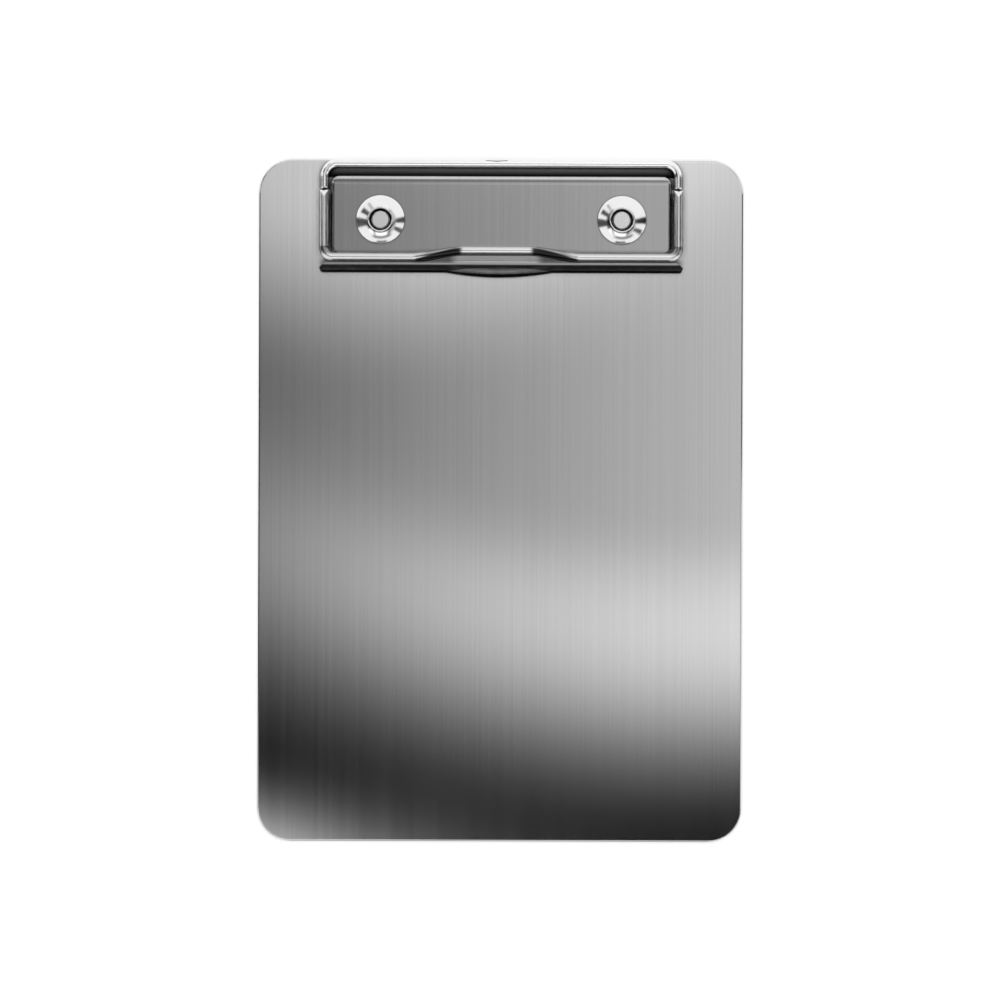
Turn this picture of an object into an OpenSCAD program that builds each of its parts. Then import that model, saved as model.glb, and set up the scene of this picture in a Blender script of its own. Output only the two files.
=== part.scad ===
// Flat steel clipboard with a low clip along its upper end.
// The clip is a pressed jaw that turns on two small pins, on a base plate riveted to the board,
// with a bent spring wire behind it. X runs across the board, Y up it towards the clip, Z out of
// its face. The origin is on the board's back, at its centre. Heights in the clip's modules are
// measured from the board's face.

/* [Board] */
// Width of the board
board_w = 160; // [140:1:260]
// Length of the board
board_l = 225; // [180:1:340]
// Thickness of the board
board_t = 1.5; // [1.3:0.1:3]
// Radius of the board's corners
board_corner_r = 11; // [4:0.5:20]
// Radius that rounds the board's upper and lower edges
board_edge_r = 0.6; // [0.2:0.05:0.6]

/* [Jaw] */
// Width of the clip over the jaw's side arms
clip_w = 119.4; // [104:0.2:132]
// Thickness of the jaw's sheet
jaw_t = 0.8; // [0.6:0.05:0.9]
// Width of the jaw's rounded rim
rim_w = 3; // [2.8:0.1:3.4]
// Height of the rim's crown above the board
rim_h = 5.9; // [5.8:0.1:6.2]
// Radius of the rim's front corners, to the middle of the rim
rim_corner_r = 3.05; // [2.2:0.05:8]
// Distance from the pivot to the middle of the front rim
jaw_reach = 19.8; // [19:0.1:24]
// Length of the side arms behind the pivot
arm_tail = 2.1; // [1.8:0.05:2.1]
// Width of the ledge in front of the rim
ledge_w = 1.2; // [0.9:0.05:2]
// Height of the ledge above the board
ledge_h = 3.6; // [3.2:0.1:4]
// How far the blade slants forward
blade_run = 2; // [1:0.1:2.4]
// Gap between the closed blade and the board
blade_gap = 0.1; // [0.05:0.05:0.5]
// How far each pointed end of the blade stands out past the clip's side
blade_over = 0.2; // [0:0.05:3]

/* [Thumb tab] */
// Width of the raised arch's straight crest
crest_w = 22; // [14:0.5:26]
// Width of each ramp, from the straight rim up to the crest
ramp_w = 16.5; // [15:0.5:18]
// Sideways shift of the arch and the wire's notch from the middle
tab_shift = -1.5; // [-3:0.1:3]
// How far the arch sets the rim back
tab_back = 2.1; // [1.2:0.05:2.4]
// Slope of the arch, up and back
tab_slope = 38; // [20:1:50]
// Radius where a ramp leaves the straight rim
flare_r = 8; // [5:1:10]
// Radius where a ramp meets the crest
crest_r = 12; // [8:1:16]
// Width of the finger lip, measured on the blade's front edge
lip_w = 35; // [24:0.5:40]
// Sideways shift of the finger lip from the middle
lip_shift = -0.7; // [-3:0.1:3]
// How far the finger lip stands out from the blade
lip_reach = 1.6; // [1.2:0.1:1.9]
// Slope of the finger lip, down and forward
lip_slope = 30; // [24:1:31]
// Height of the finger lip's underside above the board
lip_h = 0.45; // [0.3:0.05:0.5]
// Radius of the finger lip's front edge
lip_edge_r = 0.7; // [0.5:0.05:0.8]

/* [Base plate] */
// Gap between the base plate and the jaw's arms
plate_gap = 0.6; // [0.4:0.05:1]
// Length of the base plate
plate_l = 26.4; // [25:0.1:28]
// Sheet thickness of the base plate
plate_t = 0.9; // [0.7:0.05:0.9]
// Height of the base plate's top above the board
plate_h = 2.4; // [2.2:0.1:2.5]
// Radius of the base plate's corners
plate_corner_r = 2.8; // [2:0.1:6]
// Radius that rounds the base plate's rim
plate_edge_r = 1.2; // [1:0.1:1.4]

/* [Pivot] */
// Height of the pivot above the board
pivot_h = 3.3; // [3.3:0.05:3.5]
// Distance from the wire's back to the pivot
pivot_back = 12.7; // [12.5:0.1:15]
// Diameter of the pivot pins
pin_d = 1.6; // [1.2:0.1:1.7]
// Radial running clearance between a pin and its ear
pin_gap = 0.05; // [0.03:0.01:0.1]
// Thickness of the ears
ear_t = 1; // [0.8:0.05:1]
// Width of the ears
ear_w = 2.8; // [2.6:0.05:2.9]

/* [Spring wire] */
// Diameter of the spring wire
wire_d = 2.8; // [2.4:0.1:3]
// Gap between the board's end and the wire's back
wire_inset = 0; // [0:0.1:1]
// Gap between the wire and the base plate
wire_plate_gap = 2.6; // [1:0.1:3]
// Bend radius of the wire's rear corners
wire_corner_r = 4.4; // [3:0.1:5]
// Width of the notch in the middle of the wire
notch_w = 8; // [4:0.5:12]
// Depth of the notch
notch_depth = 0.7; // [0.3:0.1:1]

/* [Rivets] */
// Distance from the ends of the base plate to the rivets
rivet_end = 16.35; // [14:0.05:30]
// Distance from the board's end to the rivets
rivet_inset = 20; // [19:0.1:21]
// Diameter of a rivet's shank
shank_d = 4; // [3:0.1:4.2]
// Diameter of the rivet's upset front end
rivet_head_d = 5.6; // [5:0.1:5.7]
// Diameter of the countersunk head in the board's back
back_head_d = 6.4; // [5.4:0.1:6.6]
// Diameter of the cup washers
cup_d = 16; // [14.5:0.5:18]
// Diameter of the cup washer's raised lip
cup_lip_d = 8.1; // [8:0.1:10]
// Height of the cup washer above the base plate
cup_h = 2.2; // [1.6:0.1:2.8]
// Sheet thickness of the cup washers
cup_t = 0.6; // [0.4:0.05:0.7]

/* [Hidden] */
$fn = 48;
round_fn = 32;        // steps round the small circles of a bent sheet's section
long_arc_fn = 240;    // steps round a circle of which only a short, wide arc is used
cut = 1;              // how far a cutting shape runs past what it cuts
fit = 0.02;           // radial clearance of parts held in one another
loose = 0.05;         // radial clearance of a hole round a shank or the wire
part_gap = 0.3;       // least gap that the moving jaw keeps
lap = 0.03;           // extra thickness of a length of sheet that laps over its neighbours
lap_angle = 2;        // how far round it laps
lap_l = 0.1;          // how far along it laps

steel = "#9fa1a3";
bright = "#d9dbde";
satin = "#b4b6b9";

// Places along the board
wire_back_y = board_l / 2 - wire_inset;
wire_y = wire_back_y - wire_d / 2;
plate_back_y = wire_back_y - wire_d - wire_plate_gap;
plate_y = plate_back_y - plate_l / 2;
pivot_y = wire_back_y - pivot_back;
front_y = pivot_y - jaw_reach;
rivet_y = board_l / 2 - rivet_inset;
wire_end_y = pivot_y + (rim_h - pivot_h) + part_gap;

// The rim and the arms
arm_x = (clip_w - rim_w) / 2;
plate_w = clip_w - 2 * rim_w - 2 * plate_gap;
rivet_pitch = plate_w - 2 * rivet_end;
crown_h = rim_h - rim_w / 2;
slot_w = rim_w - 2 * jaw_t;
skirt_h = pivot_h - arm_tail;
inner_foot_h = plate_h + 2 * part_gap;

// The arch, in a plane that slopes up and back: on each side a flare, a ramp and a bend, which
// join up smoothly, and the crest between them
tab_w = crest_w + 2 * ramp_w;
arch_rise = tab_back / cos(tab_slope);
bends_r = flare_r + crest_r;
ramp_angle = asin(bends_r / norm([ramp_w, bends_r - arch_rise])) - atan2(bends_r - arch_rise, ramp_w);
ramp_l = (ramp_w - bends_r * sin(ramp_angle)) / cos(ramp_angle);

// The ledge, the blade and the lip, as distances in front of the middle of the rim
wall_u = (rim_w - jaw_t) / 2;
ledge_mid_h = ledge_h - jaw_t / 2;
crease_u = wall_u + ledge_w;
blade_u = crease_u + blade_run;
blade_front_u = blade_u + jaw_t / 2;
lip_front_u = blade_front_u + lip_reach;
lip_r = (pow(lip_w / 2, 2) + pow(lip_reach, 2)) / (2 * lip_reach);
blade_w = clip_w + 2 * blade_over;

// The wire's legs, which lie on the board and end behind the jaw's arms
wire_x = clip_w / 2 - wire_d / 2;
wire_tip_r = 0.6;
leg_l = wire_y - wire_corner_r - wire_end_y - wire_tip_r;

// The rivet's stack: plate seat, washer floor, upset end
seat_r = cup_lip_d / 2 + 0.25;
seat_top_r = cup_d / 2 - 1.2;
floor_h = plate_t + cup_t;
rivet_head_h = 1.1;
rivet_edge_r = 0.25;

// The cup washer's dome, an arc from the lip to the edge, and the foot of its well
dome_top = [cup_lip_d / 2, plate_h + cup_h - cup_t / 2];
dome_edge = [(cup_d - cup_t) / 2, plate_h + cup_t / 2];
dome_half_angle = 10;
dome_slope = atan2(dome_top.y - dome_edge.y, dome_edge.x - dome_top.x);
dome_r = norm(dome_edge - dome_top) / 2 / sin(dome_half_angle);
dome_centre = dome_top - dome_r * [sin(dome_slope - dome_half_angle), cos(dome_slope - dome_half_angle)];
well_r = cup_lip_d / 2 - 0.8;

// ---- Profiles and helpers ----

// A bent strip of sheet: its middle line runs through the points, square at the first one, with
// round bends and a round far end
module strip(points, t) {
    for (i = [1 : len(points) - 1]) {
        run = points[i] - points[i - 1];
        translate(points[i - 1]) rotate(atan2(run.y, run.x)) translate([0, -t / 2])
            square([norm(run), t]);
        translate(points[i]) circle(d = t, $fn = round_fn);
    }
}

// The edge of a slab, from a corner's centre out to r: rounded at the top, and below if both is true
module slab_edge(r, h, edge_r, both) {
    low = both ? edge_r : 0;
    square([r - edge_r, h]);
    translate([0, low]) square([r, h - edge_r - low]);
    translate([r - edge_r, h - edge_r]) circle(r = edge_r);
    if (both) translate([r - edge_r, edge_r]) circle(r = edge_r);
}

// A slab with round corners, whose edge all round is the child profile
module edged_slab(w, l, h, corner_r) {
    half_w = w / 2 - corner_r;
    half_l = l / 2 - corner_r;
    translate([-half_w, -half_l, 0]) cube([2 * half_w, 2 * half_l, h]);
    for (turn = [0, 180]) rotate(turn) {
        translate([half_w, half_l, 0]) rotate([90, 0, 0]) linear_extrude(2 * half_l) children();
        translate([-half_w, half_l, 0]) rotate([90, 0, 90]) linear_extrude(2 * half_w) children();
        translate([half_w, half_l, 0]) rotate_extrude(angle = 90) children();
        translate([-half_w, half_l, 0]) rotate(90) rotate_extrude(angle = 90) children();
    }
}

// What is drawn on the right, and its mirror image on the left
module both_sides() {
    children();
    mirror([1, 0, 0]) children();
}

// Lifts the clip's modules from the board's face
module on_board() {
    translate([0, 0, board_t]) children();
}

// ---- Board ----

module board() {
    color(steel) difference() {
        edged_slab(board_w, board_l, board_t, board_corner_r)
            slab_edge(board_corner_r, board_t, board_edge_r, true);
        both_sides() translate([rivet_pitch / 2, rivet_y, 0]) {
            translate([0, 0, -cut]) cylinder(h = board_t + 2 * cut, d = shank_d + 2 * loose);
            countersink(fit);
        }
    }
}

// The cone of a countersunk head, wider by a clearance, that opens at the board's back
module countersink(gap) {
    depth = (back_head_d - shank_d) / 2;
    translate([0, 0, -cut])
        cylinder(h = depth + cut + gap, d1 = back_head_d + 2 * cut + 2 * gap, d2 = shank_d);
}

// ---- Base plate ----

module base_plate() {
    color(satin) on_board() difference() {
        union() {
            pan();
            both_sides() {
                side_tab();
                ear();
                translate([rivet_pitch / 2, rivet_y, 0]) rivet_seat();
            }
        }
        both_sides() {
            translate([rivet_pitch / 2, rivet_y, -cut]) cylinder(h = plate_h, d = shank_d + 2 * loose);
            pin_bore(pin_gap);
        }
    }
}

// The plate itself: a shallow pressed pan, open below, with its rim turned down to the board
module pan() {
    difference() {
        translate([0, plate_y, 0]) edged_slab(plate_w, plate_l, plate_h, plate_corner_r)
            slab_edge(plate_corner_r, plate_h, plate_edge_r, false);
        translate([0, plate_y, -cut])
            edged_slab(plate_w - 2 * plate_t, plate_l - 2 * plate_t, plate_h - plate_t + cut,
                       plate_corner_r - plate_t)
                slab_edge(plate_corner_r - plate_t, plate_h - plate_t + cut,
                          max(plate_edge_r - plate_t, 0.1), false);
        both_sides() translate([rivet_pitch / 2, rivet_y, 0]) cylinder(h = plate_h + cut, r = seat_top_r);
    }
}

// A pressed-in seat that carries a rivet's washer down to the board
module rivet_seat() {
    rotate_extrude() intersection() {
        strip([[shank_d / 2, plate_t / 2], [seat_r, plate_t / 2],
               [seat_top_r, plate_h - plate_t / 2], [seat_top_r + plate_t, plate_h - plate_t / 2]],
              plate_t);
        square([seat_top_r + plate_t / 2, plate_h]);
    }
}

// The tab beside the pan that carries the ear and stops the wire's end
module side_tab() {
    tab_front_y = pivot_y - ear_w / 2 - part_gap;
    translate([plate_w / 2 - plate_t, tab_front_y, 0])
        cube([wire_x - plate_w / 2 + plate_t, wire_end_y - loose - tab_front_y, plate_t]);
}

// The upturned ear inside an arm, round about the pivot
module ear() {
    ear_r = ear_w / 2;
    translate([arm_x - ear_t / 2, pivot_y - ear_r, 0]) cube([ear_t, ear_w, pivot_h]);
    translate([arm_x - ear_t / 2, pivot_y, pivot_h]) rotate([0, 90, 0]) cylinder(h = ear_t, r = ear_r);
}

// The bore on the pivot's line, a clearance wider than the pin
module pin_bore(gap) {
    translate([arm_x - rim_w, pivot_y, pivot_h]) rotate([0, 90, 0])
        cylinder(h = 2 * rim_w, d = pin_d + 2 * gap);
}

// ---- Jaw ----

module jaw() {
    color(bright) on_board() difference() {
        union() {
            both_sides() {
                side_arm();
                rim_corner();
                straight_rim();
            }
            thumb_arch();
            ledge_and_blade();
            finger_lip();
        }
        both_sides() pin_bore(fit);
    }
}

// The rim's section: a narrow upside-down channel with a round crown, its walls thicker by grow
// on both faces. X is outwards, Y is up.
module rim_section(inner_foot, outer_foot, grow = 0) {
    half_w = rim_w / 2 + grow;
    difference() {
        union() {
            translate([0, crown_h]) circle(r = half_w, $fn = round_fn);
            translate([-half_w, inner_foot - grow]) square([half_w, crown_h - inner_foot + grow]);
            translate([0, outer_foot - grow]) square([half_w, crown_h - outer_foot + grow]);
        }
        translate([0, crown_h]) circle(r = slot_w / 2 - grow, $fn = round_fn);
        translate([grow - slot_w / 2, 0]) square([slot_w - 2 * grow, crown_h]);
    }
}

// One arm, trimmed behind the pivot so that it clears the plate and the wire as it turns
module side_arm() {
    arm_front_y = front_y + rim_corner_r;
    arm_l = pivot_y + arm_tail - arm_front_y;
    intersection() {
        translate([arm_x, pivot_y + arm_tail, 0]) rotate([90, 0, 0])
            linear_extrude(arm_l) rim_section(skirt_h, skirt_h);
        translate([arm_x - rim_w, pivot_y, pivot_h]) rotate([90, 0, 90]) linear_extrude(2 * rim_w) {
            translate([-arm_l, -pivot_h]) square([arm_l, rim_h]);
            circle(r = arm_tail);
            intersection() {
                circle(r = rim_h - pivot_h);
                square([arm_tail, rim_h]);
            }
        }
    }
}

module rim_corner() {
    translate([arm_x - rim_corner_r, front_y + rim_corner_r, 0]) rotate(-90)
        rotate_extrude(angle = 90) translate([rim_corner_r, 0]) rim_section(inner_foot_h, skirt_h);
}

// The straight stretches of the front rim, from both ends of the arch to the corners
module straight_rim() {
    front_stretch(tab_w / 2 + tab_shift - lap_l, arm_x - rim_corner_r);
    mirror([1, 0, 0]) front_stretch(tab_w / 2 - tab_shift - lap_l, arm_x - rim_corner_r);
}

module front_stretch(x0, x1) {
    translate([x0, front_y, 0]) rotate([90, 0, 90]) linear_extrude(x1 - x0) mirror([1, 0])
        rim_section(inner_foot_h, ledge_h - jaw_t);
}

// The raised arch: the rim's section with the sloping web before it, swept along the flares, the
// ramps, the bends and the crest, and trimmed where the web meets the ledge. The curved pieces lap
// over the straight ones.
module thumb_arch() {
    intersection() {
        translate([tab_shift, front_y, ledge_mid_h]) rotate([tab_slope, 0, 0]) {
            both_sides() {
                ramp_flare();
                translate([flare_r * sin(ramp_angle) - tab_w / 2, flare_r * (1 - cos(ramp_angle)), 0])
                    rotate(ramp_angle) arch_stretch(ramp_l);
                crest_bend();
            }
            translate([-crest_w / 2, arch_rise, 0]) arch_stretch(crest_w);
        }
        translate([tab_shift - tab_w, front_y - rim_w / 2, 0]) cube([2 * tab_w, jaw_reach, 2 * rim_h]);
    }
}

// A straight stretch of the arch along X
module arch_stretch(length) {
    rotate([90, 0, 90]) linear_extrude(length) mirror([1, 0]) tilted_section(0);
}

// The hollow bend from the straight rim into a ramp
module ramp_flare() {
    translate([-tab_w / 2, flare_r, 0]) rotate(-90)
        rotate_extrude(angle = ramp_angle + lap_angle, $fn = long_arc_fn)
            translate([flare_r, 0]) tilted_section(lap);
}

// The round bend from a ramp into the crest
module crest_bend() {
    translate([crest_w / 2, arch_rise - crest_r, 0]) rotate(90 - ramp_angle - lap_angle)
        rotate_extrude(angle = ramp_angle + 2 * lap_angle, $fn = long_arc_fn)
            translate([crest_r, 0]) mirror([1, 0]) tilted_section(lap);
}

// The rim's upright section in the sloping plane of the arch, with the web running forward
module tilted_section(grow) {
    rotate(tab_slope) translate([0, -ledge_mid_h]) rim_section(inner_foot_h, ledge_h - jaw_t, grow);
    translate([wall_u * cos(tab_slope), wall_u * sin(tab_slope) - jaw_t / 2 - grow])
        square([arch_rise + jaw_t + grow, jaw_t + 2 * grow]);
}

// The ledge and the slanted blade, straight across the front, with pointed ends
module ledge_and_blade() {
    tip_x = blade_w / 2;
    root_x = arm_x - rim_corner_r / 2;
    intersection() {
        translate([-tip_x, front_y, 0]) rotate([90, 0, 90]) linear_extrude(2 * tip_x) mirror([1, 0])
            strip([[wall_u, ledge_mid_h], [crease_u, ledge_mid_h], [blade_u, blade_gap + jaw_t / 2]],
                  jaw_t);
        translate([0, front_y, 0]) linear_extrude(rim_h) both_sides()
            polygon([[0, 0], [root_x, 0], [tip_x - blade_run, -wall_u - ledge_w / 2],
                     [tip_x, -crease_u - blade_run / 2], [tip_x - jaw_t / 2, -blade_u],
                     [tip_x - blade_run, -blade_front_u - cut], [0, -blade_front_u - cut]]);
    }
}

// The finger lip: a curved brim that slopes down out of the blade in front of the arch, with its
// front edge rounded, and its root at the middle of the blade's sheet
module finger_lip() {
    half_angle = asin(lip_w / lip_r);
    intersection() {
        translate([lip_shift, front_y - lip_front_u + lip_r, lip_h]) rotate(-90 - half_angle)
            rotate_extrude(angle = 2 * half_angle, $fn = long_arc_fn)
                translate([lip_r - lip_edge_r, 0]) lip_section(lip_front_u - crease_u);
        translate([lip_shift - lip_w, front_y, 0]) rotate([90, 0, 90]) linear_extrude(2 * lip_w)
            mirror([1, 0]) polygon([[crease_u, ledge_mid_h], [blade_u, blade_gap + jaw_t / 2], [blade_u, 0],
                                    [lip_front_u + cut, 0], [lip_front_u + cut, ledge_mid_h]]);
    }
}

// The lip's section, flat below: a slope that runs back from the round front edge by root
module lip_section(root) {
    polygon([[-root, 0], [0, 0], lip_edge_r * [sin(lip_slope), cos(lip_slope)],
             [-root, lip_edge_r / cos(lip_slope) + root * tan(lip_slope)]]);
    intersection() {
        circle(r = lip_edge_r, $fn = round_fn);
        square(lip_edge_r);
    }
}

// ---- Pivot pins ----

module pivot_pin() {
    color(bright) on_board() translate([arm_x - rim_w / 2 + fit, pivot_y, pivot_h]) rotate([0, 90, 0])
        cylinder(h = rim_w - 2 * fit, d = pin_d);
}

module right_pivot_pin() pivot_pin();

module left_pivot_pin() mirror([1, 0, 0]) pivot_pin();

// ---- Spring wire ----

module spring_wire() {
    color(bright) on_board() difference() {
        translate([0, wire_y, wire_d / 2]) both_sides() rotate([-90, 0, 0]) rotate([0, 90, 0])
            wire_straight(wire_x - wire_corner_r)
            wire_bend(wire_corner_r)
            wire_straight(leg_l)
            wire_tip();
        translate([tab_shift, wire_back_y, -cut]) linear_extrude(wire_d + 2 * cut)
            polygon([[-notch_w / 2, cut / 4], [-notch_w / 2, 0], [0, -notch_depth],
                     [notch_w / 2, 0], [notch_w / 2, cut / 4]]);
    }
}

// A straight length of wire along Z, with what follows at its end
module wire_straight(length) {
    cylinder(h = length, d = wire_d);
    translate([0, 0, length]) children();
}

// A square bend of the wire from Z towards X, with what follows at its end
module wire_bend(r) {
    translate([r, 0, 0]) {
        rotate([90, 0, 180]) rotate_extrude(angle = 90) translate([r, 0]) circle(d = wire_d);
        translate([0, 0, r]) rotate([0, 90, 0]) children();
    }
}

// The rounded end of a leg
module wire_tip() {
    rotate_extrude() {
        square([wire_d / 2 - wire_tip_r, wire_tip_r]);
        intersection() {
            translate([wire_d / 2 - wire_tip_r, 0]) circle(r = wire_tip_r, $fn = round_fn);
            square(wire_d);
        }
    }
}

// ---- Rivets and their washers ----

// A cup washer: a low dome up to a round lip, and a well down to its floor on the rivet seat
module cup_washer() {
    color(bright) on_board() translate([rivet_pitch / 2, rivet_y, 0]) difference() {
        rotate_extrude() intersection() {
            union() {
                strip([[shank_d / 2, floor_h - cup_t / 2], [well_r, floor_h - cup_t / 2], dome_top],
                      cup_t);
                dome_arc();
                translate(dome_edge) circle(d = cup_t, $fn = round_fn);
            }
            square([cup_d, plate_h + cup_h]);
        }
        translate([0, 0, -cut]) cylinder(h = plate_h + cut, d = shank_d + 2 * loose);
    }
}

// The bent sheet of the dome, from the lip to the washer's edge
module dome_arc() {
    outer_r = 2 * dome_r;
    from_top = dome_slope - dome_half_angle;
    to_top = dome_slope + dome_half_angle;
    translate(dome_centre) intersection() {
        difference() {
            circle(r = dome_r + cup_t / 2, $fn = long_arc_fn);
            circle(r = dome_r - cup_t / 2, $fn = long_arc_fn);
        }
        polygon([[0, 0], outer_r * [sin(from_top), cos(from_top)], outer_r * [sin(to_top), cos(to_top)]]);
    }
}

module right_cup_washer() cup_washer();

module left_cup_washer() mirror([1, 0, 0]) cup_washer();

// A rivet: a countersunk head flush with the board's back, a shank, and an upset front end
module rivet() {
    color(bright) translate([rivet_pitch / 2, rivet_y, 0]) {
        intersection() {
            countersink(0);
            cylinder(h = board_t, d = 2 * back_head_d);
        }
        cylinder(h = board_t + floor_h + rivet_head_h / 2, d = shank_d);
        translate([0, 0, board_t + floor_h]) rotate_extrude() {
            flat_r = rivet_head_d / 2 - rivet_edge_r;
            square([flat_r, rivet_head_h]);
            square([rivet_head_d / 2, rivet_head_h - rivet_edge_r]);
            intersection() {
                translate([flat_r, rivet_head_h - rivet_edge_r]) circle(r = rivet_edge_r);
                square([rivet_head_d, rivet_head_h]);
            }
        }
    }
}

module right_rivet() rivet();

module left_rivet() mirror([1, 0, 0]) rivet();

board();
base_plate();
jaw();
spring_wire();
left_pivot_pin();
right_pivot_pin();
left_cup_washer();
right_cup_washer();
left_rivet();
right_rivet();
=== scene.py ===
"""A flat steel clipboard with a low riveted clip, dressed and lit for a studio picture.

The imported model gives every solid. The classes here finish its pieces, light them and set the
camera. Lengths are in metres: X runs across the board, Y up it towards the clip, Z out of its face.
"""

from __future__ import annotations

import logging
import math
from dataclasses import dataclass, field
from enum import Enum
from typing import Any, Mapping

import bmesh
import bpy
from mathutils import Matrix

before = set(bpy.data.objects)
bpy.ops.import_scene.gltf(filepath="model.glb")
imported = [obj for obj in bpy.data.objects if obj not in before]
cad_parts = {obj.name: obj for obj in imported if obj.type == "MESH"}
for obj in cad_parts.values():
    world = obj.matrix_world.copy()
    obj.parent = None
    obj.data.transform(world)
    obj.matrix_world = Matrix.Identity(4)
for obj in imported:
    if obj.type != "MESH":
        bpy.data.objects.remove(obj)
log = logging.getLogger("clipboard")
MM = 0.001
GAP_SAMPLES = 6


class Axis(Enum):
    """The direction that a grain runs in."""

    ACROSS = "X"
    ALONG = "Y"

    def grain(self, width: float, length: float) -> tuple[float, float, float]:
        """Repeats in a metre of lines this wide and this long."""
        fine, coarse = 1 / width, 1 / length
        return (coarse, fine, fine) if self is Axis.ACROSS else (fine, coarse, fine)


class Side(Enum):
    """A side of the board, as the names of the pieces begin."""

    LEFT = "left"
    RIGHT = "right"


# ---- Shader maths ----


class Signal:
    """A value at a shader socket that takes part in Python arithmetic."""

    def __init__(self, shader: "Shader", socket: bpy.types.NodeSocket) -> None:
        """Wraps one output socket."""
        self.shader = shader
        self.socket = socket

    def _math(self, operation: str, *operands: Any) -> "Signal":
        """Adds a Math node.

        Args:
            operation: the Math node's operation.
            operands: its inputs in order, numbers or signals.

        Returns:
            The node's result.
        """
        return self.shader.node("ShaderNodeMath", {"operation": operation}, dict(enumerate(operands)))

    def __add__(self, other: Any) -> "Signal":
        """self + other."""
        return self._math("ADD", self, other)

    def __radd__(self, other: Any) -> "Signal":
        """other + self."""
        return self._math("ADD", other, self)

    def __sub__(self, other: Any) -> "Signal":
        """self - other."""
        return self._math("SUBTRACT", self, other)

    def __rsub__(self, other: Any) -> "Signal":
        """other - self."""
        return self._math("SUBTRACT", other, self)

    def __mul__(self, other: Any) -> "Signal":
        """self * other."""
        return self._math("MULTIPLY", self, other)

    def __rmul__(self, other: Any) -> "Signal":
        """other * self."""
        return self._math("MULTIPLY", other, self)

    def __truediv__(self, other: Any) -> "Signal":
        """self / other."""
        return self._math("DIVIDE", self, other)

    def __rtruediv__(self, other: Any) -> "Signal":
        """other / self."""
        return self._math("DIVIDE", other, self)

    def __pow__(self, other: Any) -> "Signal":
        """self ** other."""
        return self._math("POWER", self, other)

    def __neg__(self) -> "Signal":
        """-self."""
        return self._math("MULTIPLY", self, -1.0)

    def __abs__(self) -> "Signal":
        """abs(self)."""
        return self._math("ABSOLUTE", self)

    def least(self, other: Any) -> "Signal":
        """The smaller of the two."""
        return self._math("MINIMUM", self, other)

    def most(self, other: Any) -> "Signal":
        """The larger of the two."""
        return self._math("MAXIMUM", self, other)

    def wrapped(self, low: float, high: float) -> "Signal":
        """The value, wrapped round from high to low."""
        return self._math("WRAP", self, high, low)

    def step(self, low: float, high: float) -> "Signal":
        """A smooth rise from 0 at low to 1 at high.

        Args:
            low: where the rise starts.
            high: where it ends.

        Returns:
            The smooth step.
        """
        settings = {"interpolation_type": "SMOOTHSTEP"}
        return self.shader.node("ShaderNodeMapRange", settings, {0: self, 1: low, 2: high})

    def between(self, low: float, high: float, soft: float) -> "Signal":
        """1 between two values and 0 outside them.

        Args:
            low: the lower value.
            high: the upper value.
            soft: half the width of each soft edge.

        Returns:
            The soft-edged window.
        """
        return self.step(low - soft, low + soft) - self.step(high - soft, high + soft)

    def bump(self, height: float, centre: float, width: float) -> "Signal":
        """A smooth hump over this value.

        Args:
            height: how high the hump is.
            centre: the value at its middle.
            width: the distance from its middle to its foot.

        Returns:
            The hump, 0 outside its feet.
        """
        return (1.0 - abs(self - centre).step(0.0, width)) * height


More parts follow.
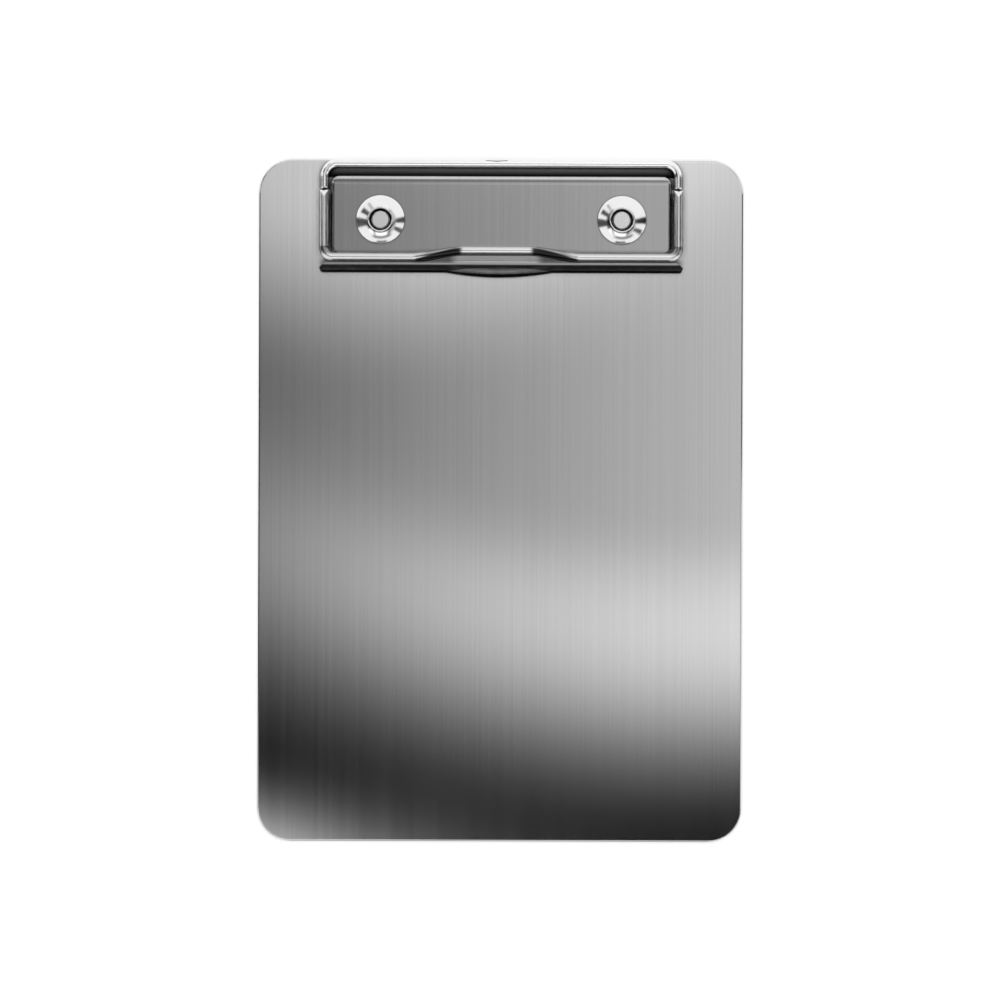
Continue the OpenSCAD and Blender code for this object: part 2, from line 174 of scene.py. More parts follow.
class Shader:
    """A material's or world's node tree, built from expressions."""

    def __init__(self, tree: bpy.types.NodeTree) -> None:
        """Takes over an empty tree."""
        self.tree = tree
        tree.nodes.clear()

    @classmethod
    def material(cls, name: str) -> tuple["Shader", bpy.types.Material]:
        """A new material and its shader."""
        made = bpy.data.materials.new(name)
        made.use_nodes = True
        return cls(made.node_tree), made

    def node(
        self,
        kind: str,
        settings: Mapping[str, Any] | None = None,
        inputs: Mapping[Any, Any] | None = None,
        output: int | str = 0,
    ) -> Signal:
        """Adds a node.

        Args:
            kind: the node's type.
            settings: its properties, set before its sockets.
            inputs: values or signals by socket name or number.
            output: the output that is wanted.

        Returns:
            That output as a signal.
        """
        made = self.tree.nodes.new(kind)
        for name, value in (settings or {}).items():
            setattr(made, name, value)
        for name, value in (inputs or {}).items():
            if isinstance(value, Signal):
                self.tree.links.new(value.socket, made.inputs[name])
            else:
                made.inputs[name].default_value = value
        return Signal(self, made.outputs[output])

    def place(self) -> Signal:
        """The point on the piece, in metres, in the shared frame."""
        return self.node("ShaderNodeTexCoord", output="Object")

    def axes(self) -> tuple[Signal, Signal, Signal]:
        """The point's X, Y and Z as three values."""
        split = self.node("ShaderNodeSeparateXYZ", inputs={0: self.place()})
        return tuple(Signal(self, out) for out in split.socket.node.outputs)

    def stretched(self, scale: tuple[float, float, float]) -> Signal:
        """The point, scaled for a pattern.

        Args:
            scale: the pattern's repeats in a metre on each axis.

        Returns:
            The pattern's coordinates.
        """
        return self.node("ShaderNodeMapping", inputs={"Vector": self.place(), "Scale": scale})

    def noise(self, scale: tuple[float, float, float], detail: float = 2.0) -> Signal:
        """Noise from 0 to 1.

        Args:
            scale: its repeats in a metre on each axis.
            detail: how many finer layers it has.

        Returns:
            The noise's value.
        """
        inputs = {"Vector": self.stretched(scale), "Scale": 1.0, "Detail": detail}
        return self.node("ShaderNodeTexNoise", {"noise_dimensions": "3D"}, inputs)

    def blend(self, factor: Any, low: tuple[float, ...], high: tuple[float, ...]) -> Signal:
        """A colour between two.

        Args:
            factor: 0 for the first and 1 for the second.
            low: the first colour.
            high: the second colour.

        Returns:
            The mixed colour.
        """
        inputs = {0: factor, 6: low, 7: high}
        return self.node("ShaderNodeMix", {"data_type": "RGBA"}, inputs, output=2)

    def crevice_shade(self, reach: float, shut: float, open_: float, dark: float) -> Signal:
        """Painted shade in gaps and folds, darker where less of the space round a point is open.

        Args:
            reach: how wide a gap still counts, in metres.
            shut: the openness at which the painted shade is full.
            open_: the openness at which it ends.
            dark: the colour's factor where the painted shade is full.

        Returns:
            A factor for the surface's colour, 1 where it is open.
        """
        # Paints shade into the colour from how open the space round each point is.
        settings = {"samples": GAP_SAMPLES}
        openness = self.node("ShaderNodeAmbientOcclusion", settings, {"Distance": reach}, output="AO")
        return openness.step(shut, open_) * (1.0 - dark) + dark

    def tinted(self, colour: Signal, factor: Signal) -> Signal:
        """A colour times a factor."""
        inputs = {0: 1.0, 6: colour, 7: factor}
        return self.node("ShaderNodeMix", {"data_type": "RGBA", "blend_type": "MULTIPLY"}, inputs, output=2)

    def relief(self, height: Signal) -> Signal:
        """Normals of a relief.

        Args:
            height: its height in metres.

        Returns:
            The bent normal.
        """
        return self.node("ShaderNodeBump", inputs={"Strength": 1.0, "Distance": 1.0, "Height": height})

    def metal(self, colour: Signal, roughness: Signal, normal: Signal, anisotropy: float = 0.0) -> None:
        """Ends the tree in a metal.

        Args:
            colour: its colour.
            roughness: its roughness.
            normal: its bent normal.
            anisotropy: how far a grain along Y spreads a reflection across it.
        """
        inputs = {"Base Color": colour, "Metallic": 1.0, "Roughness": roughness, "Normal": normal}
        if anisotropy:
            settings = {"direction_type": "RADIAL", "axis": Axis.ALONG.value}
            inputs["Anisotropic"] = anisotropy
            inputs["Tangent"] = self.node("ShaderNodeTangent", settings)
        self.surface(self.node("ShaderNodeBsdfPrincipled", inputs=inputs))

    def surface(self, shader: Signal) -> None:
        """Ends the tree in a surface."""
        self.node_out("ShaderNodeOutputMaterial", shader)

    def node_out(self, kind: str, shader: Signal) -> None:
        """Links a shader to a new output node of a kind."""
        end = self.tree.nodes.new(kind)
        self.tree.links.new(shader.socket, end.inputs["Surface"])


def tangent(degrees: float) -> float:
    """The tangent of an angle in degrees."""
    return math.tan(math.radians(degrees))


def rise(slope: Signal, angles: tuple[float, float]) -> Signal:
    """A smooth rise of a slope between two angles in degrees."""
    return slope.step(tangent(angles[0]), tangent(angles[1]))


def grey(level: float, warmth: float = 0.0) -> tuple[float, float, float, float]:
    """A grey that leans a little to warm or cool."""
    return (level * (1 + warmth), level, level * (1 - warmth), 1.0)


# ---- Finishes ----


@dataclass(frozen=True)
class BrushedSheet:
    """Steel brushed in fine lines, which spread a reflection across them."""

    name: str = "brushed_sheet"
    tone: float = 0.62
    tone_spread: float = 0.021
    roughness: float = 0.0974
    roughness_spread: float = 0.02
    anisotropy: float = 1.0
    grain: Axis = Axis.ALONG
    line_width: float = 0.42 * MM
    line_length: float = 190 * MM
    broad_ratio: float = 5.0
    hair_ratio: float = 3.0
    hair_shortness: float = 4.0
    shares: tuple[float, float, float] = (0.5, 0.3, 0.2)
    contrast: tuple[float, float] = (0.34, 0.66)
    line_depth: float = 0.0005 * MM
    tilt: float = 0.0
    # The gap_ values set the painted shade in gaps and folds.
    gap_reach: float = 3.5 * MM
    gap_shut: float = 0.45
    gap_open: float = 0.82
    gap_dark: float = 0.02

    def make(self) -> bpy.types.Material:
        """Builds the finish.

        Returns:
            The material.
        """
        shader, made = Shader.material(self.name)
        fine = shader.noise(self.grain.grain(self.line_width, self.line_length))
        broad = shader.noise(self.grain.grain(self.line_width * self.broad_ratio, self.line_length))
        hair_width, hair_length = self.line_width / self.hair_ratio, self.line_length / self.hair_shortness
        hair = shader.noise(self.grain.grain(hair_width, hair_length))
        fine_share, broad_share, hair_share = self.shares
        lines = fine * fine_share + broad * broad_share + hair * hair_share
        low, high = grey(self.tone - self.tone_spread), grey(self.tone + self.tone_spread)
        colour = shader.blend(lines.step(*self.contrast), low, high)
        _, y, _ = shader.axes()
        shader.metal(
            # The colour is multiplied by the painted shade from shade().
            shader.tinted(colour, self.shade(shader)),
            self.roughness + (broad - 0.5) * self.roughness_spread,
            shader.relief(hair * self.line_depth + y * self.tilt),
            self.anisotropy,
        )
        return made

    def shade(self, shader: Shader) -> Signal:
        """The painted shade in the folds, as a factor for the colour."""
        return shader.crevice_shade(self.gap_reach, self.gap_shut, self.gap_open, self.gap_dark)


@dataclass(frozen=True)
class BoardSheet(BrushedSheet):
    """The board's brushed steel, with painted shade in the groove behind the clip's plate."""

    groove_half: float = 58.5 * MM
    groove_front: float = 106.6 * MM
    groove_back: float = 110.4 * MM
    # Painted shade in the groove: darkest at its front, lighter towards its back.
    groove_dark: float = 0.015
    groove_light: float = 0.34
    groove_soft: float = 0.1 * MM
    groove_end_soft: float = 0.2 * MM
    groove_shadow: float = 0.6 * MM

    def shade(self, shader: Shader) -> Signal:
        """The painted shade in the folds and in the groove.

        Args:
            shader: the material's shader.

        Returns:
            A factor for the colour.
        """
        x, y, _ = shader.axes()
        soft = self.groove_end_soft
        past_end = abs(x).step(self.groove_half - soft, self.groove_half + soft)
        inside = y.between(self.groove_front, self.groove_back, self.groove_soft) * (1.0 - past_end)
        lit = y.step(self.groove_front + self.groove_shadow, self.groove_back)
        # Paints the groove darker, lighter towards its back.
        light = lit * self.groove_light + self.groove_dark
        return super().shade(shader) * (1.0 - inside * (1.0 - light))


@dataclass(frozen=True)
class PlateSheet(BrushedSheet):
    """The plate's satin steel, with a painted dark line and a painted highlight beside the bend at its rear
    edge.
    """

    bend_y: float = 105.3 * MM
    bend_half: float = 0.6 * MM
    # A painted dark line on the bend and a painted highlight just ahead of it.
    bend_dark: float = 0.45
    bend_highlight: float = 0.16
    highlight_lead: float = 1.6

    def shade(self, shader: Shader) -> Signal:
        """The painted shade in the folds, with a painted dark line and a painted highlight along the bend.

        Args:
            shader: the material's shader.

        Returns:
            A factor for the colour.
        """
        _, y, _ = shader.axes()
        # Paints a dark line on the bend and a highlight just ahead of it.
        dark = y.bump(self.bend_dark, self.bend_y, self.bend_half)
        light = y.bump(self.bend_highlight, self.bend_y - self.bend_half * self.highlight_lead, self.bend_half)
        return super().shade(shader) * (1.0 - dark + light)


@dataclass(frozen=True)
class Plating:
    """Nickel plating on a pressed or drawn piece, with faint wear in its gloss."""

    name: str
    tone: float = 0.82
    tone_spread: float = 0.05
    warmth: float = 0.004
    roughness: float = 0.08
    wear: float = 0.05
    wear_size: float = 3 * MM
    wear_from: float = 0.35
    wear_full: float = 0.75
    cloud_share: float = 0.6
    grain: Axis = Axis.ACROSS
    line_width: float = 0.12 * MM
    line_length: float = 30 * MM
    line_depth: float = 0.0004 * MM
    # The gap_ values set the painted shade in gaps and folds.
    gap_reach: float = 1.5 * MM
    gap_shut: float = 0.2
    gap_open: float = 0.6
    gap_dark: float = 0.03

    def make(self) -> bpy.types.Material:
        """Builds the finish.

        Returns:
            The material.
        """
        shader, made = Shader.material(self.name)
        size = 1 / self.wear_size
        clouds = shader.noise((size, size, size), detail=3.0)
        lines = shader.noise(self.grain.grain(self.line_width, self.line_length))
        mottle = clouds * self.cloud_share + lines * (1 - self.cloud_share)
        low = grey(self.tone - self.tone_spread, self.warmth)
        high = grey(self.tone + self.tone_spread, self.warmth)
        colour = shader.blend(mottle, low, high)
        shader.metal(
            # The colour is multiplied by the painted shade from shade().
            shader.tinted(colour, self.shade(shader)),
            self.roughness + clouds.step(self.wear_from, self.wear_full) * self.wear,
            shader.relief(lines * self.line_depth),
        )
        return made

    def shade(self, shader: Shader) -> Signal:
        """The painted shade in the folds, as a factor for the colour."""
        return shader.crevice_shade(self.gap_reach, self.gap_shut, self.gap_open, self.gap_dark)


@dataclass(frozen=True)
class WasherPlating(Plating):
    """A washer's plating, with painted shade at its lip's foot and in a low crescent."""

    pitch: float = 79.5 * MM
    centre_y: float = 92.5 * MM
    # Painted shade in a ring at the lip's foot and in a crescent low on the washer.
    foot_r: float = 4.35 * MM
    foot_half: float = 0.45 * MM
    foot_shade: float = 0.85
    foot_ends: tuple[float, float] = (-0.65, -0.25)
    crescent_r: float = 6.0 * MM
    crescent_half: float = 0.85 * MM
    crescent_shade: float = 0.72
    crescent_ends: tuple[float, float] = (-0.95, -0.8)
    crescent_skew: float = 0.1
    swap_half: float = 1 * MM

    def shade(self, shader: Shader) -> Signal:
        """The painted shade in the folds, at the lip's foot and in the crescent.

        Args:
            shader: the material's shader.

        Returns:
            A factor for the colour.
        """
        x, y, _ = shader.axes()
        side = x.step(-self.swap_half, self.swap_half) * 2.0 - 1.0
        across, along = x - side * (self.pitch / 2), y - self.centre_y
        radius = (across * across + along * along) ** 0.5
        ahead = along / radius
        # Paints a dark ring at the lip's foot and a dark crescent low on the washer.
        foot = radius.bump(self.foot_shade, self.foot_r, self.foot_half) * (1.0 - ahead.step(*self.foot_ends))
        crescent = radius.bump(self.crescent_shade, self.crescent_r, self.crescent_half)
        skewed = ahead - across / radius * self.crescent_skew
        crescent = crescent * (1.0 - skewed.step(*self.crescent_ends))
        return super().shade(shader) * (1.0 - foot) * (1.0 - crescent)


@dataclass(frozen=True)
class WirePlating(Plating):
    """The wire's plating, with a thin dark V-shaped line across its back at the middle."""

    mark_x: float = -1.5 * MM
    mark_half: float = 3.9 * MM
    mark_depth: float = 0.45 * MM
    mark_dark: float = 0.75
    mark_line: float = 0.3 * MM
    mark_fade: float = 0.85
    back_y: float = 112.15 * MM

    def shade(self, shader: Shader) -> Signal:
        """The painted shade in the folds, and the dark V-shaped line.

        Args:
            shader: the material's shader.

        Returns:
            A factor for the colour.
        """
        x, y, _ = shader.axes()
        off = (abs(x - self.mark_x) / self.mark_half).least(1.0)
        behind = y - self.back_y + (1.0 - off) * self.mark_depth
        mark = behind.bump(self.mark_dark, 0.0, self.mark_line)
        inside = 1.0 - off.step(self.mark_fade, 1.0)
        return super().shade(shader) * (1.0 - mark * inside)


@dataclass(frozen=True)
class JawPlating(Plating):
    """The jaw's plating, with painted shade on its folds, ramps, blade and lip, and painted highlights on
    the lip and blade.
    """

    front_y: float = 80.0 * MM
    arch_x: float = -1.5 * MM
    arch_back: float = 2.1 * MM
    crest_half: float = 11.0 * MM
    ramp: float = 16.5 * MM
    wall: float = 1.5 * MM
    ledge_front: float = 77.7 * MM
    lip_x: float = -0.7 * MM
    lip_half: float = 17.5 * MM
    lip_y: float = 73.7 * MM
    lip_reach: float = 1.6 * MM
    arms_y: float = 83.5 * MM
    arms_soft: float = 0.3 * MM
    # Levels of painted shade on the ramps, bends, folds, rear, web and ledge, and of painted highlights on
    # the lip and blade.
    ramp_shade: float = 0.93
    ramp_trim: tuple[float, float] = (0.6 * MM, 0.8 * MM)
    ramp_soft: float = 0.8 * MM
    bend_shade: float = 0.45
    bend_trim: tuple[float, float] = (1.0 * MM, 4.0 * MM)
    bend_soft: float = 2.0 * MM
    fold_light: float = 0.1
    fold_top: float = 0.4 * MM
    fold_foot: float = 0.3 * MM
    wall_soft: float = 0.1 * MM
    above_soft: float = 0.2 * MM
    rear_shade: float = 0.6
    rear_reach: tuple[float, float] = (0.3 * MM, 1.5 * MM)
    wedge_top: float = 0.75 * MM
    wedge_fall: float = 1.5 * MM
    wedge_soft: float = 0.3 * MM
    web_shade: float = 0.7
    web_rise: tuple[float, float] = (77.9 * MM, 78.5 * MM)
    web_reach: tuple[float, float] = (14 * MM, 27 * MM)
    web_soft: float = 2 * MM
    lip_highlight: float = 0.42
    lip_crown: float = 1.8 * MM
    lip_spread: float = 1.1 * MM
    blade_highlight: float = 0.12
    blade_crown: float = 0.9 * MM
    blade_spread: float = 0.5 * MM
    sheet_light: float = 0.13
    edge_light: float = 0.05
    edge_bow: float = 0.4 * MM
    edge_reach: tuple[float, float] = (0.75 * MM, 1.25 * MM)
    ledge_soft: float = 0.1 * MM
    ledge_dark: float = 0.45
    ledge_gain: float = 0.45
    ledge_rise: tuple[float, float] = (78.0 * MM, 79.4 * MM)

    def shade(self, shader: Shader) -> Signal:
        """The painted shade in the folds and round the rim, web, ledge, blade and lip, with painted
        highlights on the lip and blade.

        Args:
            shader: the material's shader.

        Returns:
            A factor for the colour.
        """
        x, y, _ = shader.axes()
        off = abs(x - self.arch_x)
        outer = off.step(self.crest_half, self.crest_half + self.ramp)
        ride = y - self.front_y - (1.0 - outer) * self.arch_back
        in_front = 1.0 - y.step(self.arms_y - self.arms_soft, self.arms_y + self.arms_soft)
        # Paints shade and highlights into the colour, in front of the arms only.
        painted_shade = self.rim(ride, off) * self.web(y, ride, off) * self.sheet(x, y)
        return super().shade(shader) * (1.0 - in_front * (1.0 - painted_shade))

    def rim(self, ride: Signal, off: Signal) -> Signal:
        """The painted shade round the rim.

        Args:
            ride: how far behind the rim's middle a point lies.
            off: how far from the arch's middle it lies.

        Returns:
            A factor for the colour.
        """
        end = self.crest_half + self.ramp
        inner, outer = self.ramp_trim
        ramps = off.between(self.crest_half + inner, end - outer, self.ramp_soft)
        inner, outer = self.bend_trim
        bends = off.between(self.crest_half + inner, end - outer, self.bend_soft)
        crown = ride.step(-self.wall - self.wall_soft, -self.fold_top)
        fold = abs(crown - (1.0 - ride.step(-self.wall - self.fold_foot, -self.wall)))
        above = ride.step(-self.wall - self.above_soft, -self.wall)
        rear = (1.0 - ride.step(*self.rear_reach) * self.rear_shade) * (1.0 - bends * above * self.bend_shade)
        way = (off - self.crest_half) / self.ramp
        slant = self.wedge_top - way * way * self.wedge_fall
        wedge = 1.0 - (ride - slant).step(-self.wedge_soft, self.wedge_soft)
        shade = fold * (1 - self.fold_light) + self.fold_light
        return shade * rear * (1.0 - ramps * wedge * above * self.ramp_shade)

    def web(self, y: Signal, ride: Signal, off: Signal) -> Signal:
        """The painted shade on the sheet that fills the arch, fuller towards its ends.

        Args:
            y: the place along the board.
            ride: how far behind the rim's middle a point lies.
            off: how far from the arch's middle it lies.

        Returns:
            A factor for the colour.
        """
        in_front = 1.0 - ride.step(-self.wall - self.wall_soft, -self.wall)
        inside = y.step(*self.web_rise) * in_front
        return 1.0 - inside * off.between(*self.web_reach, self.web_soft) * self.web_shade

    def sheet(self, x: Signal, y: Signal) -> Signal:
        """The painted shade on the ledge, the blade and the lip, with painted highlights on the lip and
        blade.

        Args:
            x: the place across the board.
            y: the place along it.

        Returns:
            A factor for the colour.
        """
        reach = abs(x - self.lip_x) / self.lip_half
        bow = (reach * reach).least(1.0)
        depth = y - self.lip_y - bow * self.lip_reach
        lip = (1.0 - bow) * depth.bump(self.lip_highlight, self.lip_crown, self.lip_spread)
        blade = bow * depth.bump(self.blade_highlight, self.blade_crown, self.blade_spread)
        edge = (depth + bow * self.edge_bow).step(*self.edge_reach)
        low = (lip + blade + self.sheet_light) * (edge * (1 - self.edge_light) + self.edge_light)
        on_ledge = y.step(self.ledge_front - self.ledge_soft, self.ledge_front + self.ledge_soft)
        ledge = self.ledge_dark + y.step(*self.ledge_rise) * self.ledge_gain
        return low * (1.0 - on_ledge) + ledge * on_ledge


# ---- Studio ----


@dataclass(frozen=True)
class Band:
    """A soft-edged band of light or shade across the dome's flat projection."""

    place: float
    reach: float
    skew: float
    bend: float = 0.0

    def across(self, u: Signal, v: Signal) -> Signal:
        """How far along the board a place is, on the band's own skewed and bent scale."""
        return v + u * self.skew + u * u * self.bend


@dataclass(frozen=True)
class Flag:
    """A dark flag that stands round the board: its azimuth, half width and lower end in degrees."""

    azimuth: float
    half: float
    cover: float
    low: float = 87.0
    side_soft: float = 1.5
    end_soft: float = 2.0

    def light(self, azimuth: Signal, slope: Signal) -> Signal:
        """What the flag lets through.

        Args:
            azimuth: the direction round the board in degrees.
            slope: the tangent of the angle off the vertical.

        Returns:
            1 beside the flag and less behind it.
        """
        turn = (azimuth - self.azimuth).wrapped(-180.0, 180.0)
        beside = abs(turn).step(self.half - self.side_soft, self.half + self.side_soft)
        under = slope.step(tangent(self.low - self.end_soft), tangent(self.low + self.end_soft))
        return 1.0 - (1.0 - beside) * (1.0 - under) * self.cover


@dataclass
class Studio:
    """The floor, the dome of light that the metal reflects, and the world."""

    floor_half: float = 3.0
    floor_tone: float = 0.8
    floor_glow: float = 0.5
    dome_r: float = 1.5
    dome_rings: int = 48
    dome_foot: float = 0.001
    horizon: float = 0.002
    sides_from: tuple[float, float] = (31.0, 39.0)
    ground_least: float = 0.05
    ground: float = 0.478
    ground_slope: float = 1.395
    ground_most: float = 1.4
    ridge: Band = Band(-0.156, 0.169, 0.31, -0.788)
    ridge_gain: float = 1.625
    gap: Band = Band(-0.311, 0.267, 0.085, -0.605)
    gap_left: float = 1.0
    gap_left_ends: tuple[float, float] = (-0.25, 0.4)
    rear: Band = Band(0.099, 0.173, -0.303, -1.643)
    rear_level: float = 0.688
    front: Band = Band(0.365, 0.099, 0.692, 0.791)
    front_level: float = 1.799
    overhead_most: float = 1.4
    left_end: float = -0.45
    left_soft: float = 0.1
    right_end: float = 0.41
    right_soft: float = 0.05
    right_dark: float = 0.6
    strip: float = 0.52
    strip_reach: float = 0.11
    strip_dark: float = 0.96
    side_level: float = 1.05
    flags: tuple[Flag, ...] = (
        Flag(9.0, 8.0, 0.99),
        Flag(-22.0, 7.0, 0.95, 63.0),
        Flag(178.0, 12.0, 0.94),
        Flag(146.0, 7.0, 0.97, 61.0),
        Flag(124.0, 3.0, 0.7, 60.0),
    )
    bar_azimuth: float = -90.0
    bar_half: float = 15.0
    bar_cover: float = 0.97
    bar_top: tuple[float, float] = (50.0, 53.0)
    bar_end: tuple[float, float] = (61.0, 63.0)
    foot_half: float = 11.0
    foot_top: tuple[float, float] = (63.0, 65.0)
    foot_level: float = 0.38
    foot_drop: float = 0.36
    foot_drop_at: tuple[float, float] = (73.0, 76.0)
    world_level: float = 0.75

    def build(self) -> None:
        """Makes the floor, the dome and the world."""
        self.floor()
        self.dome()
        self.world()

    def stand(self, name: str, mesh: bpy.types.Mesh, material: bpy.types.Material) -> bpy.types.Object:
        """Puts a piece of the studio in the scene.

        Args:
            name: its name.
            mesh: its shape.
            material: its surface.

        Returns:
            The object.
        """
        mesh.materials.append(material)
        made = bpy.data.objects.new(name, mesh)
        bpy.context.scene.collection.objects.link(made)
        return made

    def floor(self) -> None:
        """A white floor that still takes a shadow."""
        shader, made = Shader.material("floor_paint")
        paint = shader.node("ShaderNodeBsdfDiffuse", inputs={"Color": grey(self.floor_tone)})
        glow = shader.node("ShaderNodeEmission", inputs={"Color": grey(1.0), "Strength": self.floor_glow})
        seen = shader.node("ShaderNodeLightPath", output="Is Camera Ray")
        glossy = shader.node("ShaderNodeLightPath", output="Is Glossy Ray")
        both = shader.node("ShaderNodeAddShader", inputs={0: paint, 1: glow})
        shader.surface(shader.node("ShaderNodeMixShader", inputs={0: seen.most(glossy), 1: paint, 2: both}))
        mesh = bpy.data.meshes.new("studio_floor")
        shape = bmesh.new()
        bmesh.ops.create_grid(shape, x_segments=1, y_segments=1, size=self.floor_half)
        shape.to_mesh(mesh)
        shape.free()
        self.stand("studio_floor", mesh, made)

    def dome(self) -> None:
        """The dome of soft light over the board."""
        shader, made = Shader.material("dome_light")
        level = self.light(shader)
        shader.surface(shader.node("ShaderNodeEmission", inputs={"Color": grey(1.0), "Strength": level}))
        mesh = bpy.data.meshes.new("studio_dome")
        shape = bmesh.new()
        rings = self.dome_rings
        bmesh.ops.create_uvsphere(shape, u_segments=2 * rings, v_segments=rings, radius=self.dome_r)
        every = shape.verts[:] + shape.edges[:] + shape.faces[:]
        foot = (0, 0, self.dome_foot)
        bmesh.ops.bisect_plane(shape, geom=every, plane_co=foot, plane_no=(0, 0, 1), clear_inner=True)
        shape.to_mesh(mesh)
        shape.free()
        dome = self.stand("studio_dome", mesh, made)
        dome.visible_camera = False
        dome.visible_shadow = False

    def light(self, shader: Shader) -> Signal:
        """The dome's brightness, by direction.

        Args:
            shader: the dome's shader.

        Returns:
            The strength of its light.
        """
        x, y, z = shader.axes()
        low = z.most(self.horizon)
        u, v = x / low * self.dome_r, y / low * self.dome_r
        slope = (u * u + v * v) ** 0.5 / self.dome_r
        azimuth = shader.node("ShaderNodeMath", {"operation": "ARCTAN2"}, {0: y, 1: x}) * math.degrees(1.0)
        share = rise(slope, self.sides_from)
        return self.overhead(u, v) * (1.0 - share) + self.around(slope, azimuth) * share

    def overhead(self, u: Signal, v: Signal) -> Signal:
        """The light over the board: soft bands across it, darker on the left.

        Args:
            u: the place on the dome's flat projection, across the board.
            v: the place on it along the board.

        Returns:
            The strength of the light.
        """
        ground = (u * self.ground_slope + self.ground).most(self.ground_least).least(self.ground_most)
        ridge = self.ridge.across(u, v).bump(self.ridge_gain, self.ridge.place, self.ridge.reach)
        gap = self.gap.across(u, v).bump(1.0, self.gap.place, self.gap.reach)
        rear = self.rear.across(u, v).step(self.rear.place, self.rear.place + self.rear.reach)
        front = (-self.front.across(u, v)).step(self.front.place, self.front.place + self.front.reach)
        strip = abs(u).bump(self.strip_dark, self.strip, self.strip_reach)
        inside = u.step(self.left_end - self.left_soft, self.left_end + self.left_soft)
        past = u.step(self.right_end - self.right_soft, self.right_end + self.right_soft)
        edge = 1.0 - past * self.right_dark
        left = (1.0 - u.step(*self.gap_left_ends)) * self.gap_left
        level = (ground * (ridge + 1.0) + rear * inside * self.rear_level) * (1.0 - gap) * (1.0 - gap * left)
        return (level + front * self.front_level).least(self.overhead_most) * edge * (1.0 - strip)

    def around(self, slope: Signal, azimuth: Signal) -> Signal:
        """The light at the sides: white, with dark flags and a dark bar in front.

        Args:
            slope: the tangent of the angle off the vertical.
            azimuth: the direction round the board in degrees.

        Returns:
            The strength of the light.
        """
        level = self.side_level
        for flag in self.flags:
            level = flag.light(azimuth, slope) * level
        bar = Flag(self.bar_azimuth, self.bar_half, self.bar_cover).light(azimuth, slope)
        foot = Flag(self.bar_azimuth, self.foot_half, 1.0).light(azimuth, slope)
        in_bar = rise(slope, self.bar_top) - rise(slope, self.bar_end)
        in_foot = rise(slope, self.foot_top)
        low = self.foot_level - rise(slope, self.foot_drop_at) * self.foot_drop
        level = level * (1.0 - in_bar * (1.0 - bar))
        return level * (1.0 - in_foot * (1.0 - foot)) + in_foot * (1.0 - foot) * low

    def world(self) -> None:
        """White all round, plainly lit."""
        world = bpy.data.worlds.new("studio_world")
        bpy.context.scene.world = world
        world.use_nodes = True
        shader = Shader(world.node_tree)
        lit = shader.node("ShaderNodeBackground", inputs={"Color": grey(1.0), "Strength": self.world_level})
        seen = shader.node("ShaderNodeBackground", inputs={"Color": grey(1.0), "Strength": 1.0})
        path = shader.node("ShaderNodeLightPath", output="Is Camera Ray")
        glossy = shader.node("ShaderNodeLightPath", output="Is Glossy Ray")
        through = shader.node("ShaderNodeLightPath", output="Is Transmission Ray")
        factor = path.most(glossy).most(through)
        mix = shader.node("ShaderNodeMixShader", inputs={0: factor, 1: lit, 2: seen})
        shader.node_out("ShaderNodeOutputWorld", mix)


@dataclass
class Viewpoint:
    """The camera, straight above the board."""

    height: float = 0.9182
    look: tuple[float, float] = (-0.00007, 0.0003)
    lens: float = 100.0
    sensor: float = 36.0
    clip: tuple[float, float] = (0.05, 20.0)
    turn: float = math.radians(0.2)

    def build(self) -> None:
        """Makes the scene's camera."""
        data = bpy.data.cameras.new("camera")
        data.type = "PERSP"
        data.lens = self.lens
        data.sensor_width = self.sensor
        data.clip_start, data.clip_end = self.clip
        camera = bpy.data.objects.new("camera", data)
        bpy.context.scene.collection.objects.link(camera)
        camera.location = (*self.look, self.height)
        camera.rotation_euler = (0.0, 0.0, self.turn)
        bpy.context.scene.camera = camera


# ---- The clipboard ----


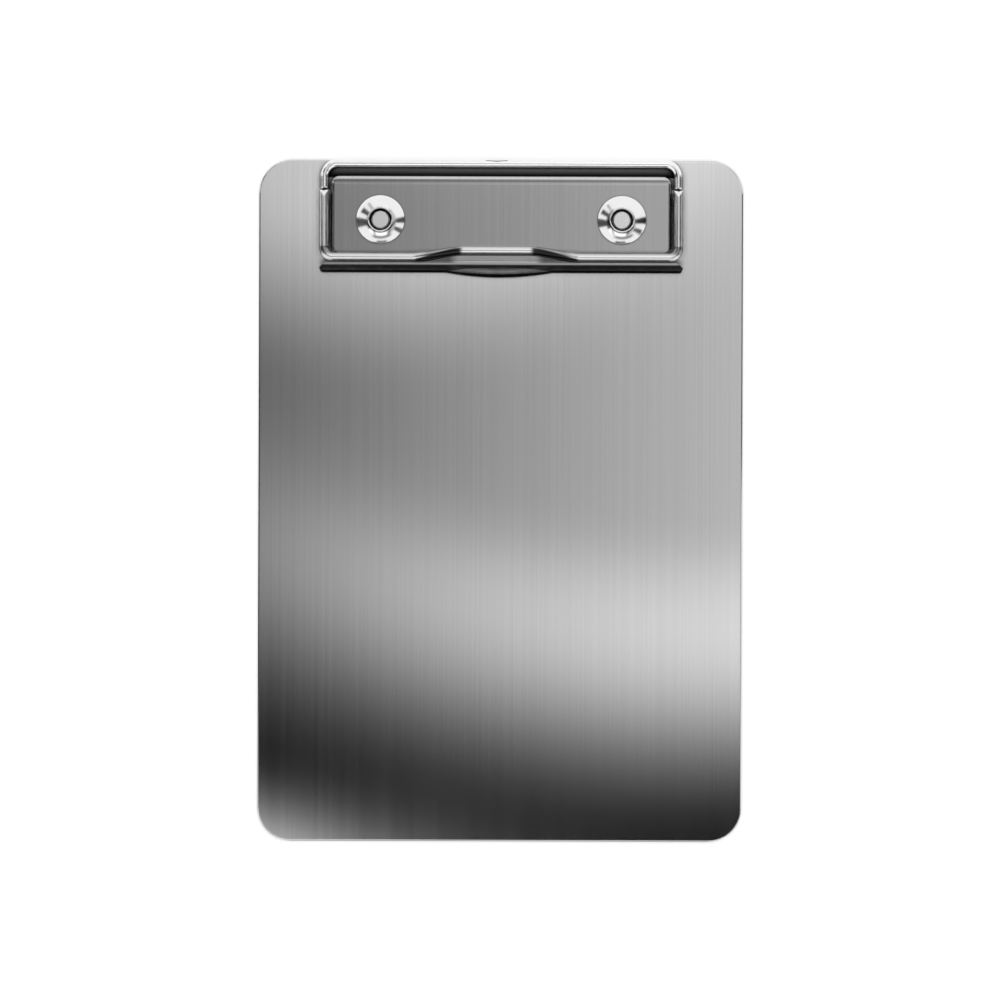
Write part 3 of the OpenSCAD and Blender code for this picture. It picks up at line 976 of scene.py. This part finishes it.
def dress(node: str, material: bpy.types.Material) -> None:
    """Puts a material on a CAD piece.

    Args:
        node: the piece's node in the frame.
        material: its finish.
    """
    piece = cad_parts[node]
    piece.data.materials.clear()
    piece.data.materials.append(material)
    log.info("%s: %s", node, material.name)


@dataclass
class Board:
    """The brushed steel board that carries the clip."""

    steel: BoardSheet = field(default_factory=lambda: BoardSheet("board_steel"))

    def build(self) -> None:
        """Dresses the board."""
        dress("board", self.steel.make())


@dataclass
class ClipBase:
    """The plate that is riveted to the board, and the spring wire round its back."""

    plate: PlateSheet = field(default_factory=lambda: PlateSheet(
        "plate_steel", tone=0.56, tone_spread=0.02, roughness=0.18, anisotropy=0.8, tilt=0.055,
        gap_reach=2 * MM))
    wire: WirePlating = field(default_factory=lambda: WirePlating(
        "wire_plating", tone=0.86, roughness=0.15, gap_reach=0.6 * MM))

    def build(self) -> None:
        """Dresses the plate and the wire."""
        dress("base_plate", self.plate.make())
        dress("spring_wire", self.wire.make())


@dataclass
class Jaw:
    """The pressed jaw and the two pins that it swings on."""

    plating: JawPlating = field(default_factory=lambda: JawPlating("jaw_plating", tone=0.78, roughness=0.18))
    pins: Plating = field(default_factory=lambda: Plating("pin_plating", roughness=0.12))

    def build(self) -> None:
        """Dresses the jaw and its pins."""
        dress("jaw", self.plating.make())
        pins = self.pins.make()
        for side in Side:
            dress(f"{side.value}_pivot_pin", pins)


@dataclass
class Fastenings:
    """The two rivets and the domed washers under their heads."""

    washers: WasherPlating = field(default_factory=lambda: WasherPlating(
        "washer_plating", tone=0.82, roughness=0.12))
    rivets: Plating = field(default_factory=lambda: Plating("rivet_plating", tone=0.70, roughness=0.25))

    def build(self) -> None:
        """Dresses the washers and the rivets."""
        washers, rivets = self.washers.make(), self.rivets.make()
        for side in Side:
            dress(f"{side.value}_cup_washer", washers)
            dress(f"{side.value}_rivet", rivets)


def main() -> None:
    """Builds the scene and logs each group as it is built."""
    logging.basicConfig(level=logging.INFO)
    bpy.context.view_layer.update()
    for group in (Board(), ClipBase(), Jaw(), Fastenings(), Studio(), Viewpoint()):
        group.build()
        log.info("built %s", type(group).__name__)
    bpy.context.scene.view_settings.view_transform = "Standard"


if __name__ == "__main__":
    main()
